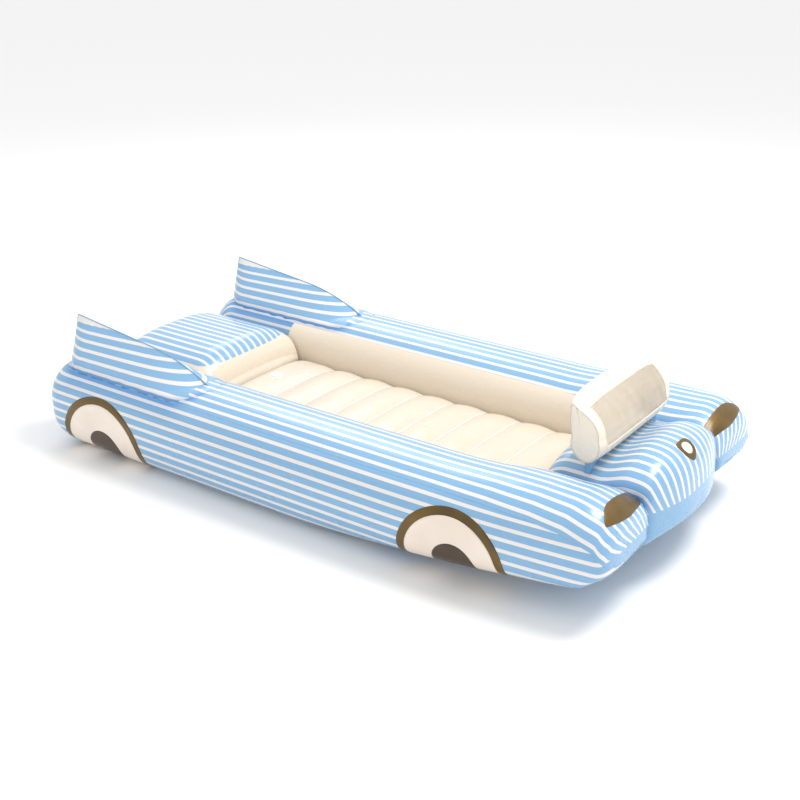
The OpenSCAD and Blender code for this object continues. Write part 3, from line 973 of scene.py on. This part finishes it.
def shell_piece(name, points, faces, thickness, finish, body):
    """Open film given its real look of thickness, then closed by the Solidify modifier."""
    piece = new_piece(name, points, faces, finish, body)
    loose = bmesh.new()
    loose.from_mesh(piece.data)
    bmesh.ops.delete(loose, geom=[v for v in loose.verts if not v.link_faces], context="VERTS")
    bmesh.ops.recalc_face_normals(loose, faces=loose.faces)
    loose.to_mesh(piece.data)
    loose.free()
    solid = piece.modifiers.new("film", "SOLIDIFY")
    solid.thickness = thickness * MM
    solid.offset = -1
    return piece


band_faces, window_faces = [], []
for j in range(rows - 1):
    for i in range(count):
        n = (i + 1) % count
        quad = (j * count + i, (j + 1) * count + i, (j + 1) * count + n, j * count + n)
        open_here = first <= j < last and WINDOW_ROWS[0] <= i < WINDOW_ROWS[1]
        (window_faces if open_here else band_faces).append(quad)
shield_points = shield_grid.reshape(-1, 3)
shield_band = shell_piece("windshield_band", shield_points, band_faces, 0.6, shield_cream,
                          "windshield")
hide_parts("shield_frame")
shield_pane = shell_piece("windshield_window", shield_points, window_faces, 0.5, shield_clear,
                          "windshield")
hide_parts("shield_window")

# %% [markdown]
# The end panels swell a little, and a weld bead runs round each one. A thin strip also
# frames the window, where the clear film is let into the cream.

# %% Windshield ends and weld beads
end_line = shield_ring(shield_half)
end_middle = end_line.mean(0)
end_share = np.linspace(1, 0.02, 14)
for side, word in ((-1, "right"), (1, "left")):
    swell = 5.0 * (1 - end_share**2)
    grid = np.array([end_middle + (end_line - end_middle) * share + np.array([0, out, 0])
                     for share, out in zip(end_share, swell)])
    count_end = grid.shape[1]
    points = np.concatenate([grid.reshape(-1, 3), [grid[-1].mean(0)]]) * np.array([1, side, 1])
    faces = []
    for j in range(len(grid) - 1):
        near, far = j * count_end, (j + 1) * count_end
        for i in range(count_end):
            n = (i + 1) % count_end
            faces.append((near + i, near + n, far + n, far + i))
    faces += [(far + i, far + (i + 1) % count_end, len(points) - 1) for i in range(count_end)]
    panel = shell_piece("windshield_end_" + word, points, faces, 0.5, shield_cream, "windshield")
    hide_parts("shield_end_" + word)
    bead_out = end_line - end_middle
    bead_out /= np.linalg.norm(bead_out, axis=1, keepdims=True)
    bead_across = np.tile([0.0, 1.0, 0.0], (len(end_line), 1))
    bead = swept_strip("windshield_bead_" + word, end_line, bead_across, bead_out, 1.3, 1.3,
                       cream_film, "windshield", side, True)

frame_line = [shield_grid[j, WINDOW_ROWS[0]] for j in range(first, last + 1)]
frame_line += [shield_grid[last, i] for i in range(WINDOW_ROWS[0] + 1, WINDOW_ROWS[1] + 1)]
frame_line += [shield_grid[j, WINDOW_ROWS[1]] for j in range(last - 1, first - 1, -1)]
frame_line += [shield_grid[first, i] for i in range(WINDOW_ROWS[1] - 1, WINDOW_ROWS[0], -1)]
front_out = np.tile([0.94, 0.0, 0.34], (len(frame_line), 1))
front_across = np.cross(tangents(frame_line), front_out)
frame_strip = swept_strip("windshield_window_weld", frame_line, front_across, front_out, 2.2, 0.8,
                          shield_cream, "windshield", 1, True)
print("windshield pieces made")

# %% [markdown]
# ## The mattress
# The mattress is a flat air chamber in cream film. Webs inside hold it flat, so the top
# swells into rounded channels between them, and the film is drawn down and puckered over
# each web. It is lofted with the swell built in, which keeps it exactly inside the
# cockpit at every lift; cloth pressure would push it into the side chambers.

# %% Channelled mattress
WEB_FIRST, WEB_PITCH = -380, 120
WEB_END = WEB_FIRST + 8 * WEB_PITCH
CHANNEL_DEPTH = 9
pad_rear, pad_front, pad_top, pad_half = pad_low[0], pad_high[0], pad_high[2], pad_high[1]


def pad_ring(x):
    end = max(0.3, min(end_round(x - pad_rear, 60, 2.4), end_round(pad_front - x, 60, 2.4)))
    plan = min(end_round(x - pad_rear + 20, 60, 2.4), end_round(pad_front - x + 20, 60, 2.4))
    middle = pad_top / 2
    top, bottom = mix(middle, pad_top, end), mix(middle, 2.6, end)
    return film_ring(x, 0, plan * pad_half, plan * pad_half, middle + 1, top, bottom,
                     (-pad_half, pad_half), 4, 4)


pad_grid = FilmGrid(station_list(pad_rear, pad_front, 60, 60, 6), pad_ring)
px, py, pz = (pad_grid.flat[..., k] for k in range(3))
phase = (px - WEB_FIRST) / WEB_PITCH
held = 1 - np.abs(np.sin(math.pi * phase)) ** 0.7
held = held * soft_step(px, WEB_FIRST - 70, WEB_FIRST - 50)
held = held * (1 - soft_step(px, WEB_END - 60, WEB_END - 40))
upper = soft_step(pz, pad_top * 0.45, pad_top * 0.9)
crown = 3.0 * (1 - (np.abs(py) / pad_half) ** 2)
near_web = np.exp(-(((phase - np.round(phase)) * WEB_PITCH / 22) ** 2))
gather = 0.8 * near_web * upper * pucker(py + 300, 51, 16, 44)
pad_grid.push(-CHANNEL_DEPTH * held * upper - 3.0 * upper + crown * upper + gather)
pad_grid.settle()
mattress = loft_piece("mattress_pad", pad_grid.points, cream_film, "mattress")
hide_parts("mattress_envelope")

# %% [markdown]
# ## The floor sheet
# A sheet of film closes the cockpit underneath and ties the side chambers together. It is
# nearly flat, so a thin closed sheet with rounded corners and a faint sag is enough.

# %% Floor sheet
sheet_low, sheet_high = chamber("floor_sheet")
corner = 40.0
outline = []
for cx, cy, start in ((sheet_high[0], sheet_high[1], 0), (sheet_low[0], sheet_high[1], 90),
                      (sheet_low[0], sheet_low[1], 180), (sheet_high[0], sheet_low[1], 270)):
    for a in np.radians(np.linspace(start, start + 90, 10)):
        mx = cx - math.copysign(corner, math.cos(math.radians(start + 45)))
        my = cy - math.copysign(corner, math.sin(math.radians(start + 45)))
        outline.append((mx + corner * math.cos(a), my + corner * math.sin(a)))
outline = np.array(outline)
centre = outline.mean(0)
layers = []
for share in np.linspace(0.02, 1, 24):
    ring = centre + (outline - centre) * share
    z = 1.2 + 0.5 * np.sin(ring[:, 0] / 70) * np.cos(ring[:, 1] / 55)
    layers.append(np.column_stack([ring, z]))
layers = np.array(layers)
count_sheet = len(outline)
sheet_faces = []
for j in range(len(layers) - 1):
    near, far = j * count_sheet, (j + 1) * count_sheet
    for i in range(count_sheet):
        n = (i + 1) % count_sheet
        sheet_faces.append((near + i, far + i, far + n, near + n))
sheet_faces.append(tuple(range(count_sheet)))
floor_film = shell_piece("floor_film", layers.reshape(-1, 3), sheet_faces, 0.5, blue_film, "body")
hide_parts("floor_sheet")

# %% [markdown]
# ## Pieces that keep their CAD shape
# Valves, caps, plugs, flaps and the webs inside are already right, so they only get their
# finish: white moulded plastic, a milky flap, and white web film.

# %% Finish of the carried-over pieces
KEPT = {
    web_film: ("side_baffles_right", "side_baffles_left", "hood_baffles", "trunk_baffles", "mattress_beams"),
    valve_plastic: ("body_valve", "body_valve_cap", "mattress_valve", "mattress_valve_cap", "shield_valve",
                    "shield_valve_plug"),
    flap_film: ("body_valve_flap", "mattress_valve_flap"),
    blue_film: ("shield_skirt",),
}
for finish, node_names in KEPT.items():
    for node_name in node_names:
        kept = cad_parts[node_name]
        kept.data.materials.clear()
        kept.data.materials.append(finish)
print("kept nodes:", sum(len(names) for names in KEPT.values()))

# %% [markdown]
# ## Floor, light and camera
# The bed stands in a white studio: a pale floor that runs to the horizon, a big soft
# light above and in front, a weaker one from the other side, and an even sky.

# %% Studio
floor_mesh = bpy.data.meshes.new("studio_floor")
floor_corners = [(x * 30, y * 30, -0.001) for x, y in ((-1, -1), (1, -1), (1, 1), (-1, 1))]
floor_mesh.from_pydata(floor_corners, [], [(0, 1, 2, 3)])
studio_floor = bpy.data.objects.new("studio_floor", floor_mesh)
collection.objects.link(studio_floor)
floor_paint, _, floor_shader = start_finish("studio_white")
floor_shader.inputs["Base Color"].default_value = (0.9, 0.9, 0.9, 1)
floor_shader.inputs["Roughness"].default_value = 0.9
floor_shader.inputs["Specular IOR Level"].default_value = 0.1
floor_mesh.materials.append(floor_paint)


def soft_light(name, place, aim, size, power, colour=(1, 1, 1)):
    lamp = bpy.data.lights.new(name, "AREA")
    lamp.shape = "DISK"
    lamp.size = size
    lamp.energy = power
    lamp.color = colour
    holder = bpy.data.objects.new(name, lamp)
    collection.objects.link(holder)
    holder.location = place
    holder.rotation_euler = (Vector(aim) - Vector(place)).to_track_quat("-Z", "Y").to_euler()
    return holder


soft_light("key_light", (1.6, 1.0, 3.6), (0.1, 0, 0.2), 1.6, 92)
soft_light("rim_light", (-2.5, 2.5, 3.0), (0, 0, 0.2), 2.0, 22)
soft_light("near_fill", (0.5, -4.5, 1.8), (0, 0, 0.2), 2.5, 4)
world = bpy.data.worlds.new("studio_sky")
world.use_nodes = True
world.node_tree.nodes["Background"].inputs["Color"].default_value = (1, 1, 1, 1)
world.node_tree.nodes["Background"].inputs["Strength"].default_value = 1.0
bpy.context.scene.world = world
bpy.context.scene.view_settings.view_transform = "Standard"

# %% Camera
camera_data = bpy.data.cameras.new("camera")
camera_data.lens = 54.97
camera_data.sensor_width = 36
camera = bpy.data.objects.new("camera", camera_data)
collection.objects.link(camera)
camera.location = (1.9943, -2.7752, 1.7002)
camera.rotation_euler = (math.radians(90 - 23.6045), 0, math.radians(35.357))
bpy.context.scene.camera = camera

# %% Finish
bpy.context.view_layer.update()
